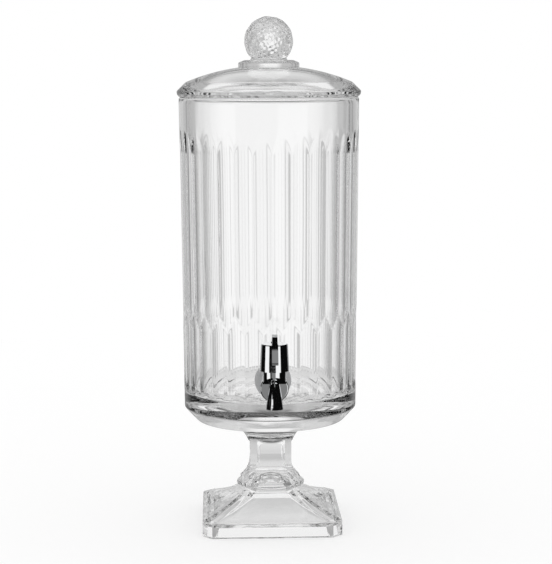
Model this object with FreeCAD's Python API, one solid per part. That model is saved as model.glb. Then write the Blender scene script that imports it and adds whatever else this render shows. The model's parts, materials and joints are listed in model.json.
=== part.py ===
"""Glass drink dispenser: a fluted jar bonded on a square pedestal, a lift-off lid and a sprung lever tap.

Millimetres, +Z up, and the tap faces -Y. The shapes are made about the jar's axis and then moved along Y, so
that the origin is the middle of the base of the box round the whole part.
"""
import FreeCAD
import Part
import math
import os

from FreeCAD import Vector

UP = Vector(0, 0, 1)
X_AXIS = Vector(1, 0, 0)
Y_AXIS = Vector(0, 1, 0)
ORIGIN = Vector(0, 0, 0)

# How far a cutter reaches past what it cuts
past = 1.0

# Pedestal: a chamfered square plinth that sweeps up to a slim stem with a round collar
pedestal_height = 99.5
plinth_half = 64.0
plinth_edge_round = 1.6
plinth_chamfer = 8.8
flare_sweep = ((14.4, 61.6), (18.0, 51.8), (22.6, 41.4), (26.0, 35.4), (29.4, 30.6), (32.6, 27.2), (36.4, 24.4))
flare_top_chamfer = 5.5
knee_r = 31.7
knee_foot_z = 36.2
knee_thickness = 2.8
knee_round = 1.1
stem_half = 19.2
stem_foot_chamfer = 4.0
stem_chamfer = 6.2
stem_sweep = ((38.6, 28.4), (40.8, 26.4), (43.4, 24.4), (46.6, 22.3), (50.6, 20.7), (55.0, 19.7), (60.0, 19.25),
              (65.0, 19.2))
collar_height = 26.0
collar_lip = 2.2
collar_r = 38.0
collar_waist_r = 24.6
collar_waist_share = 0.42
panel_half = 10.4
panel_edge = ((20.0, 41.0), (14.2, 49.5), (10.9, 57.0), (10.4, 62.0))
panel_depth = 0.7
panel_round = 4.0
panel_over_collar = 4.5
foot_rim_width = 6.8
hollow_sweep = ((8.4, 55.6), (12.6, 48.0), (18.4, 37.4), (24.4, 28.6), (31.0, 21.6), (38.0, 17.4))
hollow_dome_rise = 8.0
hollow_chamfer = 6.4

# Jar: a straight pressed glass jar with two rows of flutes, the lower one offset by half a pitch
jar_height = 299.4
jar_rim_r = 82.8
jar_foot_r = 80.1
jar_wall = 8.2
jar_floor = 26.0
jar_floor_round = 7.0
jar_rim_round = 2.4
bevel_height = 12.2
bevel_width = 11.4
bevel_round = 3.0
flute_count = 30
flute_r = 34.0
flute_land = 1.2
flute_top_drop = 31.5
flute_top_arch = 18.0
flute_cross = 98.5
flute_cross_length = 16.0
flute_foot = 30.0
flute_foot_length = 4.5
flute_run_out = 0.3

# Lid: a thick glass dome with a sloping brim, a locating ring inside the jar and a hammered ball
lid_overhang = 1.8
lid_brim_height = 5.2
lid_brim_under = 2.2
lid_nose_inset = 0.3
lid_slope_width = 8.2
lid_shoulder_height = 13.3
lid_crown_height = 28.2
lid_crown_bow = 1.0
lid_bow_share = 0.6
lid_glass = 7.6
lid_inside_share = (0.62, 0.72)
lid_ring_drop = 4.6
lid_ring_width = 5.4
lid_ring_gap = 1.8
lid_ring_taper = 0.6
knob_disc_r = 28.0
knob_disc_height = 5.8
knob_disc_bevel = 1.4
knob_disc_sink = 0.8
knob_root = 3.0
knob_neck_r = 17.2
knob_neck_height = 4.2
knob_neck_waist = 1.2
knob_neck_flare = 0.6
knob_ball_r = 22.4
knob_ball_sink = 1.3
dimple_count = 84
dimple_r = 13.0
dimple_depth = 1.15
dimple_neck_clear = 6.0

# Tap, outside the jar
tap_height = 50.2
shank_r = 7.5
glass_hole_gap = 0.7
shank_bore_r = 3.2
shank_inside = 13.4
thread_pitch = 1.8
thread_depth = 0.7
thread_mouth_share = 0.42
thread_root_share = 0.08
thread_lead = 0.5
outer_washer_r = 16.2
outer_washer_t = 2.4
tap_reach = 38.0
arm_r = 12.4
arm_root_r = 12.0
arm_setback = 1.0
arm_edge_round = 1.2
barrel_r = 10.2
barrel_rise = 17.2
neck_r = 9.0
neck_rise = 25.7
underside_rise = 4.8
underside_slope = 34.0
spout_drop = 17.4
spout_mouth_r = 7.8
spout_curve = ((7.2, 4.0), (6.2, 10.9), (5.2, 17.2), (4.6, 20.2), (3.8, 22.8))
spout_dome = 24.6
spout_crown = (0.6, 0.5)
spout_wall = 1.5
spout_bell_rise = 4.0
spout_throat_r = 4.4

# Tap, inside the barrel
valve_bore_r = 3.0
seat_drop = 7.0
seat_t = 1.8
outlet_r = 2.0
seal_pocket_r = 4.4
seal_pocket_drop = 3.0
spring_room_r = 7.2
spring_room_floor = 12.7
stem_r = 1.5
running_gap = 0.05
plug_gap = 0.4
plug_length = 3.0
plug_bevel = 0.6
plug_seat_gap = 0.02
barb_r = 1.9
barb_t = 0.8
barb_rise = 1.0
seal_ring_wire = 1.5
seal_ring_crown = 0.3
bush_flange_t = 2.0
bush_flange_gap = 0.15
stem_rest_gap = 0.8
stem_shoulder_r = 2.4
stem_shoulder_t = 1.2
cup_gap = 0.8
cup_t = 1.2
cup_lip = 0.8
cup_lip_t = 0.7
spring_wire_r = 0.45
spring_side_gap = 0.25
spring_turns = 3.5
spring_points = 8
spring_land = 0.05
plate_t = 1.2
stem_nut_r = 3.2
stem_nut_t = 1.6
stem_tip = 0.6

# Bonnet and lever
bonnet_foot_drop = 9.2
bonnet_foot_r = 12.8
bonnet_top_r = 11.7
bonnet_height = 23.4
bonnet_bevel = 0.7
bonnet_skin = 2.0
bonnet_wall = 1.7
neck_gap = 0.15
slot_gap = 0.5
slot_front = 0.4
slot_back = 9.6
slot_corner_share = 0.45
ledge_width = 0.7
ledge_t = 0.3
pivot_back = 6.0
pivot_rise = 3.3
pin_r = 1.25
ear_gap = 0.3
ear_t = 2.3
ear_half = 2.7
ear_top_drop = 0.5
ear_root = 0.3
lever_hub_r = 2.6
lever_hub_half = 4.5
fork_half_height = 1.1
fork_nose_r = 1.6
fork_front = 1.6
fork_side_gap = 0.4
fork_slot_clear = 1.4
fork_lift_gap = 0.3
lever_half_width = 2.3
lever_t = 3.0
lever_path = ((0.2, 1.6), (1.6, 5.6), (3.4, 9.8), (6.4, 14.6), (10.8, 16.9), (15.4, 15.6), (19.6, 10.6),
              (22.9, 3.2), (25.2, -4.2))
lever_steps = 40
pad_half_width = 2.7
pad_t = 3.7
pad_start = 0.66

# Fastening on the shank
washer_squeeze = 4.0
inner_washer_r = 14.0
inner_washer_t = 2.2
clamp_washer_r = 12.6
clamp_washer_t = 1.5
nut_flats_half = 12.0
nut_t = 6.0
nut_bevel = 1.2

# Sizes that follow from the ones above
hollow_rim_half = plinth_half - foot_rim_width
lid_brim_r = jar_rim_r + lid_overhang
lid_shoulder_r = lid_brim_r - lid_slope_width
glass_hole_r = shank_r + glass_hole_gap
plug_r = valve_bore_r - plug_gap
cup_r = spring_room_r - cup_gap
spring_coil_r = cup_r - cup_lip_t - spring_side_gap - spring_wire_r
slot_half = lever_half_width + slot_gap
fork_slot_half = stem_r + fork_side_gap

# Heights and places that follow
jar_base_z = pedestal_height
rim_z = jar_base_z + jar_height
bevel_z = jar_base_z + bevel_height
floor_z = jar_base_z + jar_floor
draft = (jar_rim_r - jar_foot_r) / (rim_z - bevel_z)
tap_z = jar_base_z + tap_height


def jar_outer(z):
    """Outer radius of the jar's plain wall at a height."""
    return jar_foot_r + (z - bevel_z) * draft


def jar_inner(z):
    """Radius of the jar's bore at a height."""
    return jar_outer(z) - jar_wall


jar_face_y = -jar_outer(tap_z)
washer_y = jar_face_y - outer_washer_t
tap_y = washer_y - tap_reach
bore_y = -jar_inner(tap_z)
inner_washer_y = bore_y + inner_washer_t
clamp_washer_y = inner_washer_y + clamp_washer_t
nut_y = clamp_washer_y + nut_t
shank_end_y = bore_y + shank_inside

seat_z = tap_z - seat_drop
mouth_z = tap_z - spout_drop
pocket_z = tap_z + spring_room_floor - seal_pocket_drop
room_z = tap_z + spring_room_floor
barrel_top_z = tap_z + neck_rise
plate_top_z = barrel_top_z + plate_t
pivot_z = plate_top_z + pivot_rise
nut_under_z = pivot_z + fork_nose_r + fork_lift_gap
bonnet_foot_z = barrel_top_z - bonnet_foot_drop
bonnet_top_z = bonnet_foot_z + bonnet_height
room_top_z = bonnet_top_z - bonnet_skin
shoulder_z = room_z + bush_flange_t + stem_rest_gap
cup_z = shoulder_z + stem_shoulder_t


def point(r, z):
    """A point of a lathe outline: radius and height."""
    return Vector(r, 0, z)


def arc_edge(start, through, end):
    """An arc. One that meets the axis becomes a spline, because the torus it turns would cross itself."""
    edge = Part.Arc(start, through, end).toShape()
    return edge.toNurbs().Edges[0] if min(start.x, end.x) < 1e-6 else edge


def outline(start, *steps):
    """Closes a wire through points; a pair (through, end) makes an arc, a single point a line."""
    edges = []
    here = start
    for step in steps:
        if isinstance(step, tuple):
            through, end = step
            edges.append(arc_edge(here, through, end))
        else:
            end = step
            edges.append(Part.makeLine(here, end))
        here = end
    if here.distanceToPoint(start) > 1e-7:
        edges.append(Part.makeLine(here, start))
    return Part.Wire(edges)


def lathe(start, *steps):
    """Turns an outline in the XZ plane about the Z axis."""
    return Part.Face(outline(start, *steps)).revolve(ORIGIN, UP, 360)


def rod(r, z0, z1, x=0.0, y=0.0):
    """A round bar along Z."""
    return Part.makeCylinder(r, z1 - z0, Vector(x, y, z0), UP)


def tube(r, bore, z0, z1):
    """A round sleeve along Z on the origin's axis."""
    return rod(r, z0, z1).cut(rod(bore, z0 - past, z1 + past))


def bar_y(r, y0, y1, z=tap_z):
    """A round bar along Y at the shank's height."""
    return Part.makeCylinder(r, y1 - y0, Vector(0, y0, z), Y_AXIS)


def bar_x(r, half, y, z):
    """A round bar along X, centred on x = 0."""
    return Part.makeCylinder(r, 2 * half, Vector(-half, y, z), X_AXIS)


def block(x, y, z):
    """A box from three (low, high) pairs."""
    return Part.makeBox(x[1] - x[0], y[1] - y[0], z[1] - z[0], Vector(x[0], y[0], z[0]))


def at_tap(shape):
    """Moves a shape that was made on the Z axis to the tap's axis."""
    return shape.translated(Vector(0, tap_y, 0))


def save(name, shape):
    """Writes one node and reports it."""
    clean = shape.removeSplitter()
    solids = clean.Solids
    print(f"{name}: {len(solids)} solid, valid {clean.isValid()}, {clean.Volume / 1000:.2f} cm3")
    (solids[0] if len(solids) == 1 else clean).exportStep(f"parts/{name}.step")


# Pedestal


def square_wire(half, chamfer, z):
    """A square with cut corners, as a wire at a height."""
    near = half - chamfer
    corners = ((half, near), (near, half), (-near, half), (-half, near),
               (-half, -near), (-near, -half), (near, -half), (half, -near))
    return Part.makePolygon([Vector(x, y, z) for x, y in corners + corners[:1]])


def square_sweep(sections, chamfer_low, chamfer_high):
    """A smooth loft through cut-cornered squares given as (height, half width)."""
    low, high = sections[0][0], sections[-1][0]
    wires = []
    for z, half in sections:
        share = (z - low) / (high - low)
        wires.append(square_wire(half, chamfer_low + share * (chamfer_high - chamfer_low), z))
    return Part.makeLoft(wires, True, False)


def square_plate(half, chamfer, z0, z1):
    """A cut-cornered square slab."""
    return Part.Face(square_wire(half, chamfer, z0)).extrude(Vector(0, 0, z1 - z0))


def edges_at(shape, z):
    """The edges of a shape that lie flat at one height."""
    return [e for e in shape.Edges if all(abs(v.Z - z) < 1e-5 for v in e.Vertexes)]


def make_stem():
    """The stem: a flared foot and a straight upper part that runs into the collar."""
    straight_z = stem_sweep[-1][0]
    return [square_sweep(stem_sweep, stem_foot_chamfer, stem_chamfer),
            square_plate(stem_half, stem_chamfer, straight_z, pedestal_height - collar_lip)]


def make_knee():
    """The round disc between the flare and the stem."""
    top = knee_foot_z + knee_thickness
    r = knee_round
    cut = r * (1 - math.sqrt(0.5))
    edge = knee_r - r
    return lathe(point(0, knee_foot_z), point(edge, knee_foot_z),
                 (point(knee_r - cut, knee_foot_z + cut), point(knee_r, knee_foot_z + r)), point(knee_r, top - r),
                 (point(knee_r - cut, top - cut), point(edge, top)), point(0, top))


def make_collar():
    """The round collar that carries the jar."""
    top = pedestal_height
    foot = top - collar_height
    waist = point(collar_waist_r, foot + collar_waist_share * collar_height)
    lip_z = top - collar_lip
    return lathe(point(0, foot), point(stem_half, foot), (waist, point(collar_r, lip_z)),
                 point(collar_r, top), point(0, top))


def stem_panel():
    """The sunk panel on the front of the stem, with rounded upper corners, as a cutter."""
    foot = knee_foot_z + knee_thickness
    top = pedestal_height - collar_height + panel_over_collar
    far = -2 * stem_half
    skin = Part.BSplineCurve()
    skin.interpolate([Vector(0, panel_depth - half, z) for z, half in stem_sweep])
    low, high = skin.value(skin.FirstParameter), skin.value(skin.LastParameter)
    corner = Vector(0, high.y, top)
    profile = Part.Face(Part.Wire([
        skin.toShape(), Part.makeLine(high, corner), Part.makeLine(corner, Vector(0, far, top)),
        Part.makeLine(Vector(0, far, top), Vector(0, far, low.z)), Part.makeLine(Vector(0, far, low.z), low)]))
    wide = panel_edge[0][0]
    sunk = profile.translated(Vector(-wide, 0, 0)).extrude(Vector(2 * wide, 0, 0))
    ends = [(x, max(z, foot)) for x, z in panel_edge] + [(panel_half, top)]
    corners = [Vector(x, far, z) for x, z in ends] + [Vector(-x, far, z) for x, z in reversed(ends)]
    front = Part.Face(Part.makePolygon(corners + corners[:1])).extrude(Vector(0, 2 * stem_half, 0))
    upper = [e for e in front.Edges if all(abs(v.Z - top) < 1e-6 for v in e.Vertexes)
             and abs(e.Vertexes[0].X - e.Vertexes[1].X) < 1e-6]
    return sunk.common(front.makeFillet(panel_round, upper))


def foot_hollow():
    """The space under the pedestal."""
    top_z, top_half = hollow_sweep[-1]
    rim = Part.makeLoft([square_wire(hollow_rim_half, hollow_chamfer, -past),
                         square_wire(hollow_sweep[0][1], hollow_chamfer, hollow_sweep[0][0])], True, True)
    sweep = square_sweep(hollow_sweep, hollow_chamfer, hollow_chamfer)
    dome_r = (top_half ** 2 + hollow_dome_rise ** 2) / (2 * hollow_dome_rise)
    dome = Part.makeSphere(dome_r, Vector(0, 0, top_z + hollow_dome_rise - dome_r))
    cap = dome.common(rod(top_half, top_z - 0.01, top_z + 2 * hollow_dome_rise))
    return rim.fuse([sweep, cap])


def make_pedestal():
    band = flare_sweep[0][0]
    plinth = square_plate(plinth_half, plinth_chamfer, 0, band)
    plinth = plinth.makeFillet(plinth_edge_round, edges_at(plinth, band))
    flare = square_sweep(flare_sweep, plinth_chamfer, flare_top_chamfer)
    body = plinth.fuse([flare, make_knee(), make_collar()] + make_stem())
    for turn in range(4):
        body = body.cut(stem_panel().rotated(ORIGIN, UP, 90 * turn))
    return body.cut(foot_hollow())


# Jar


def flute_depth():
    """Depth of a flute whose edges leave a land between neighbours."""
    r = (jar_rim_r + jar_foot_r) / 2
    half_width = r * math.sin(math.pi / flute_count) - flute_land / 2
    axis_r = math.sqrt(r ** 2 - half_width ** 2) + math.sqrt(flute_r ** 2 - half_width ** 2)
    return r + flute_r - axis_r


def flute_cutter(foot_z, foot_length, top_z, top_length):
    """A round bar with tapered ends that cuts one flute in the jar's wall at +X, trimmed to a thin shell."""
    depth = flute_depth()
    shy = flute_run_out
    inner = flute_r - depth - shy
    bar = lathe(point(0, foot_z - shy * foot_length / depth),
                point(inner, foot_z - shy * foot_length / depth),
                point(flute_r, foot_z + foot_length), point(flute_r, top_z - top_length),
                point(inner, top_z + shy * top_length / depth),
                point(0, top_z + shy * top_length / depth))
    middle_z = (foot_z + top_z) / 2
    bar.rotate(point(0, middle_z), Y_AXIS, math.degrees(math.atan(draft)))
    bar.translate(point(jar_outer(middle_z) + flute_r - depth, 0))
    low, high = foot_z - foot_length, top_z + top_length
    near = jar_foot_r - 2 * depth
    half = (jar_foot_r - flute_land) * math.sin(math.pi / flute_count)
    shell = lathe(point(near, low), point(jar_outer(low) + shy, low), point(jar_outer(high) + shy, high),
                  point(near, high))
    return bar.common(shell).common(block((near, 2 * jar_rim_r), (-half, half), (low, high)))


def flutes():
    """Both rows of flute cutters. A rib of the upper row and a flute of the lower one face the tap."""
    pitch = 360.0 / flute_count
    cross_low = jar_base_z + flute_cross - flute_cross_length / 2
    cross_high = cross_low + flute_cross_length
    upper = flute_cutter(cross_low, flute_cross_length, rim_z - flute_top_drop, flute_top_arch)
    lower = flute_cutter(jar_base_z + flute_foot, flute_foot_length, cross_high, flute_cross_length)
    row = []
    for i in range(flute_count):
        row.append(upper.rotated(ORIGIN, UP, -90 + (i + 0.5) * pitch))
        row.append(lower.rotated(ORIGIN, UP, -90 + i * pitch))
    return row


def jar_blank():
    """The jar before its flutes and its hole."""
    bevel_r = jar_foot_r - bevel_width
    reach = bevel_round * math.tan(math.pi / 8)
    low = reach * math.sqrt(0.5)
    turn_r = jar_foot_r - bevel_round * (1 - math.cos(math.pi / 8))
    turn_z = bevel_z + reach - bevel_round * math.sin(math.pi / 8)
    corner = 1 - math.sqrt(0.5)
    floor_r = jar_inner(floor_z + jar_floor_round)
    lip = jar_rim_round
    rim_out = jar_outer(rim_z - lip)
    rim_in = jar_inner(rim_z - lip)
    return lathe(
        point(0, jar_base_z),
        point(bevel_r, jar_base_z),
        point(jar_foot_r - low, bevel_z - low),
        (point(turn_r, turn_z), point(jar_outer(bevel_z + reach), bevel_z + reach)),
        point(rim_out, rim_z - lip),
        (point(rim_out - lip * corner, rim_z - lip * corner), point(rim_out - lip, rim_z)),
        point(rim_in + lip, rim_z),
        (point(rim_in + lip * corner, rim_z - lip * corner), point(rim_in, rim_z - lip)),
        point(floor_r, floor_z + jar_floor_round),
        (point(floor_r - jar_floor_round * corner, floor_z + jar_floor_round * corner),
         point(floor_r - jar_floor_round, floor_z)),
        point(0, floor_z))


def make_jar():
    hole = bar_y(glass_hole_r, jar_face_y - washer_squeeze, bore_y + washer_squeeze)
    return jar_blank().cut(flutes() + [hole])


# Lid


def make_lid():
    """The dome, standing on the jar's rim."""
    z = rim_z
    crown = point(0, z + lid_crown_height)
    shoulder = point(lid_shoulder_r, z + lid_shoulder_height)
    crown_rise = lid_crown_height - lid_shoulder_height
    bow = point(lid_shoulder_r * lid_bow_share,
                z + lid_shoulder_height + crown_rise * lid_bow_share + lid_crown_bow)
    brim = point(lid_brim_r, z + lid_brim_height)
    under = point(lid_brim_r - lid_brim_under, z)
    nose = point(lid_brim_r - lid_nose_inset, z + lid_brim_height / 2)
    ring_out = jar_inner(z) - lid_ring_gap
    ring_in = ring_out - lid_ring_width
    inside_top = point(0, z + lid_crown_height - lid_glass)
    inside_bow = point(ring_in * lid_inside_share[0], z + (lid_crown_height - lid_glass) * lid_inside_share[1])
    return lathe(crown, (bow, shoulder), brim, (nose, under), point(ring_out, z),
                 point(ring_out - lid_ring_taper, z - lid_ring_drop),
                 point(ring_in + lid_ring_taper, z - lid_ring_drop),
                 point(ring_in, z), (inside_bow, inside_top))


def disc_top_z():
    """Height of the top of the knob's disc."""
    return rim_z + lid_crown_height + knob_disc_height - knob_disc_sink


def ball_centre_z():
    """Height of the knob ball's centre."""
    drop = math.sqrt(knob_ball_r ** 2 - knob_neck_r ** 2)
    return disc_top_z() + drop + knob_neck_height - knob_ball_sink


def dimples():
    """Round cutters spread evenly over the ball, except where it joins its neck."""
    centre = Vector(0, 0, ball_centre_z())
    reach = knob_ball_r + dimple_r - dimple_depth
    golden = math.pi * (3 - math.sqrt(5))
    lens = Part.makeSphere(dimple_r, Vector(0, 0, reach)).common(Part.makeSphere(knob_ball_r + past))
    lowest = -knob_ball_r + dimple_neck_clear
    cutters = []
    for i in range(dimple_count):
        height = 1 - (2 * i + 1) / dimple_count
        if height * knob_ball_r < lowest:
            continue
        across = math.sqrt(1 - height ** 2)
        way = Vector(across * math.cos(i * golden), across * math.sin(i * golden), height)
        turn = FreeCAD.Rotation(UP, way)
        cutters.append(lens.transformed(FreeCAD.Placement(centre, turn).toMatrix()))
    return cutters


def make_knob(lid):
    """The hammered ball with its neck and disc, hollowed below to sit on the dome."""
    disc_foot = rim_z + lid_crown_height - knob_root
    disc_top = disc_top_z()
    neck_top = disc_top + knob_neck_height
    edge = knob_disc_r - knob_disc_bevel
    ball = Part.makeSphere(knob_ball_r, Vector(0, 0, ball_centre_z())).cut(dimples())
    base = lathe(point(0, disc_foot), point(knob_disc_r, disc_foot), point(knob_disc_r, disc_top - knob_disc_bevel),
                 point(edge, disc_top), point(knob_neck_r, disc_top),
                 point(knob_neck_r - knob_neck_waist, disc_top + knob_neck_height / 2),
                 point(knob_neck_r - knob_neck_flare, neck_top), point(0, neck_top))
    return ball.fuse(base).cut(lid)


# Tap


def shank_thread():
    """A helical groove along the shank's outer end, as a cutter."""
    start = clamp_washer_y - thread_lead
    length = shank_end_y - start + 2 * thread_pitch
    helix = Part.makeHelix(thread_pitch, length, shank_r)
    mouth = thread_mouth_share * thread_pitch
    bottom = thread_root_share * thread_pitch
    root = shank_r - thread_depth
    crest = shank_r + thread_depth / 3
    tooth = Part.makePolygon([Vector(crest, 0, -mouth), Vector(root, 0, -bottom), Vector(root, 0, bottom),
                              Vector(crest, 0, mouth), Vector(crest, 0, -mouth)])
    groove = Part.Wire(helix).makePipeShell([tooth], True, True)
    groove.rotate(ORIGIN, X_AXIS, -90)
    groove.translate(Vector(0, start, tap_z))
    return groove


def spout():
    """The bell-shaped spout, on the Z axis, hanging below the barrel."""
    mouth = point(spout_mouth_r, mouth_z)
    top = point(0, mouth_z + spout_dome)
    side = Part.BSplineCurve()
    side.interpolate([mouth] + [point(r, mouth_z + rise) for r, rise in spout_curve])
    shoulder = side.value(side.LastParameter)
    crown = point(shoulder.x * spout_crown[0], top.z - spout_crown[1])
    edges = [side.toShape(), arc_edge(shoulder, crown, top),
             Part.makeLine(top, point(0, mouth_z)), Part.makeLine(point(0, mouth_z), mouth)]
    return Part.Face(Part.Wire(edges)).revolve(ORIGIN, UP, 360)


def spout_bore():
    """The way out through the spout."""
    mouth_r = spout_mouth_r - spout_wall
    throat_z = seat_z - seat_t
    bell = lathe(point(0, mouth_z - past), point(mouth_r, mouth_z - past), point(mouth_r, mouth_z),
                 point(spout_throat_r, mouth_z + spout_bell_rise), point(spout_throat_r, throat_z),
                 point(0, throat_z))
    return bell.fuse(rod(outlet_r, throat_z - past, seat_z + past))


def make_arm():
    """The horizontal arm between the barrel and the jar, with a flat front face."""
    front = tap_y + arm_setback
    length = washer_y - front
    arm = Part.makeCone(arm_r, arm_root_r, length, Vector(0, front, tap_z), Y_AXIS)
    return arm.makeFillet(arm_edge_round, [e for e in arm.Edges if abs(e.BoundBox.YMax - front) < 1e-4])


def make_tap_body():
    """Barrel, arm, spout and threaded shank, as one casting."""
    barrel = rod(barrel_r, tap_z, tap_z + barrel_rise)
    hinge_z = tap_z + underside_rise
    slab = block((-tap_reach, tap_reach), (-2 * tap_reach, 2 * tap_reach), (hinge_z - 2 * tap_reach, hinge_z))
    slab.rotate(Vector(0, 0, hinge_z), X_AXIS, -underside_slope)
    barrel = barrel.cut(slab)
    body = at_tap(barrel.fuse([spout(), rod(neck_r, tap_z + barrel_rise - past, barrel_top_z)]))
    shank = bar_y(shank_r, washer_y - past, shank_end_y)
    body = body.fuse([make_arm(), shank])
    cavities = rod(valve_bore_r, seat_z, room_z + past)
    cavities = cavities.fuse([rod(seal_pocket_r, pocket_z, room_z + past),
                              rod(spring_room_r, room_z, barrel_top_z + past), spout_bore()])
    body = body.cut(at_tap(cavities))
    body = body.cut(bar_y(shank_bore_r, tap_y, shank_end_y + past))
    return body.cut(shank_thread())


def make_bonnet():
    """The tapered cap over the barrel, with ears for the lever's pin and a slot for the lever."""
    foot, top = bonnet_foot_z, bonnet_top_z
    shell = lathe(point(0, foot), point(bonnet_foot_r, foot), point(bonnet_top_r, top - bonnet_bevel),
                  point(bonnet_top_r - bonnet_bevel, top), point(0, top))
    room_r = bonnet_top_r - bonnet_wall
    step_r = neck_r + neck_gap
    room = lathe(point(0, foot - past), point(step_r, foot - past), point(step_r, plate_top_z),
                 point(step_r - ledge_width, plate_top_z), point(step_r - ledge_width, plate_top_z + ledge_t),
                 point(room_r, plate_top_z + ledge_t + ledge_width), point(room_r, room_top_z),
                 point(0, room_top_z))
    barrel_skirt = rod(barrel_r + neck_gap, foot - past, tap_z + barrel_rise + neck_gap)
    shell = shell.cut(room).cut(barrel_skirt)
    inner = lever_hub_half + ear_gap
    for side in (-1, 1):
        span = sorted((side * inner, side * (inner + ear_t)))
        ear = block(span, (pivot_back - ear_half, pivot_back + ear_half), (pivot_z - ear_half, top - ear_top_drop))
        shell = shell.fuse(ear.common(rod(room_r + ear_root, foot, top)))
    slot = block((-slot_half, slot_half), (slot_front, slot_back), (room_top_z - past, top + past))
    ends = [e for e in slot.Edges if abs(e.Vertexes[0].Z - e.Vertexes[1].Z) > past]
    slot = slot.makeFillet(slot_half * slot_corner_share, ends)
    pin_hole = bar_x(pin_r, inner + ear_t + past, pivot_back, pivot_z)
    return at_tap(shell.cut([slot, pin_hole]))


def make_lever():
    """The lever: hub on the pin, fork under the stem nut, and a hooked handle over the bonnet's front."""
    hub = bar_x(lever_hub_r, lever_hub_half, pivot_back, pivot_z)
    low, high = pivot_z - fork_half_height, pivot_z + fork_half_height
    fork = block((-lever_hub_half, lever_hub_half), (-fork_front, pivot_back), (low, high))
    nose = bar_x(fork_nose_r, lever_hub_half, 0, pivot_z)
    inner = fork.fuse([hub, nose])
    slot_end = stem_r + fork_slot_clear
    inner = inner.cut(block((-fork_slot_half, fork_slot_half), (-2 * fork_nose_r, slot_end),
                            (low - fork_nose_r, high + fork_nose_r)))
    lever = inner.fuse([lever_strip(lever_half_width, lever_t, 0), lever_strip(pad_half_width, pad_t, pad_start)])
    lever = lever.cut(bar_x(pin_r + running_gap, lever_hub_half + past, pivot_back, pivot_z))
    return at_tap(lever)


def lever_strip(half_width, thickness, start):
    """A bent strip along the lever's middle line, from a share of its length to its tip."""
    middle = Part.BSplineCurve()
    middle.interpolate([Vector(0, pivot_back - ahead, pivot_z + rise) for ahead, rise in lever_path])
    last = middle.LastParameter
    first = middle.FirstParameter + start * (last - middle.FirstParameter)
    upper, lower = [], []
    for i in range(lever_steps + 1):
        at = first + (last - first) * i / lever_steps
        across = middle.tangent(at)[0].cross(X_AXIS) * (thickness / 2)
        upper.append(middle.value(at) + across)
        lower.append(middle.value(at) - across)
    far = Part.BSplineCurve()
    far.interpolate(upper)
    near = Part.BSplineCurve()
    near.interpolate(lower)
    tip = middle.value(last) + middle.tangent(last)[0] * (thickness / 2)
    cap = Part.Arc(upper[-1], tip, lower[-1]).toShape()
    butt = Part.makeLine(lower[0], upper[0])
    face = Part.Face(Part.Wire([far.toShape(), cap, near.toShape(), butt]))
    return face.translated(Vector(-half_width, 0, 0)).extrude(Vector(2 * half_width, 0, 0))


def make_pin():
    """The lever's pin, held in the bonnet's ears."""
    return at_tap(bar_x(pin_r, lever_hub_half + ear_gap + ear_t, pivot_back, pivot_z))


# Valve


def make_valve_stem():
    """The valve stem with its spring shoulder and barbed foot."""
    foot = seat_z + barb_rise
    stem = rod(stem_r, foot, nut_under_z + stem_nut_t + stem_tip)
    stem = stem.fuse([rod(stem_shoulder_r, shoulder_z, cup_z), rod(barb_r, foot, foot + barb_t)])
    return at_tap(stem)


def make_plug(stem):
    """The soft plug on the stem's foot."""
    foot = seat_z + plug_seat_gap
    top = foot + plug_length
    plug = lathe(point(0, foot), point(plug_r - plug_bevel, foot), point(plug_r, foot + plug_bevel),
                 point(plug_r, top - plug_bevel), point(plug_r - plug_bevel, top), point(0, top))
    return at_tap(plug).cut(stem)


def make_spring_cup():
    """The pressed washer that carries the spring on the stem's shoulder."""
    cup = tube(cup_r, stem_r, cup_z, cup_z + cup_t)
    lip = tube(cup_r, cup_r - cup_lip_t, cup_z, cup_z + cup_t + cup_lip)
    return at_tap(cup.fuse(lip))


def make_spring():
    """The compression spring between the cup and the guide plate, as one unbroken bar."""
    low = cup_z + cup_t + spring_wire_r + spring_land
    high = barrel_top_z - spring_wire_r - spring_land
    steps = round(spring_turns * spring_points)
    middle = Part.BSplineCurve()
    middle.interpolate([Vector(spring_coil_r * math.cos(2 * math.pi * i / spring_points),
                               spring_coil_r * math.sin(2 * math.pi * i / spring_points),
                               low + (high - low) * i / steps) for i in range(steps + 1)])
    first = middle.FirstParameter
    ring = Part.Wire(Part.makeCircle(spring_wire_r, middle.value(first), middle.tangent(first)[0]))
    return at_tap(Part.Wire(middle.toShape()).makePipeShell([ring], True, True))


def make_guide_bush():
    """The bush that guides the stem and keeps its seal down."""
    seal_top = pocket_z + seal_ring_wire
    flange_z = room_z + bush_flange_t
    bush = rod(seal_pocket_r - running_gap, seal_top + running_gap, room_z)
    bush = bush.fuse(rod(spring_room_r - bush_flange_gap, room_z, flange_z))
    return at_tap(bush.cut(rod(stem_r + running_gap, pocket_z, flange_z + past)))


def make_stem_seal():
    """The seal ring round the stem, drawn at its fitted size."""
    inner = stem_r + running_gap
    middle = (inner + seal_pocket_r) / 2
    top = pocket_z + seal_ring_wire
    low, high = pocket_z + seal_ring_crown, top - seal_ring_crown
    ring = lathe(point(inner, low), (point(middle, pocket_z), point(seal_pocket_r, low)),
                 point(seal_pocket_r, high), (point(middle, top), point(inner, high)))
    return at_tap(ring)


def make_guide_plate():
    """The plate clamped on the barrel's rim, which guides the stem and carries the spring's top."""
    return at_tap(tube(neck_r, stem_r + running_gap, barrel_top_z, plate_top_z))


def make_stem_nut():
    """The nut on the stem that the lever's fork lifts."""
    return at_tap(tube(stem_nut_r, stem_r, nut_under_z, nut_under_z + stem_nut_t))


# Seals and fastening on the shank


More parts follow.
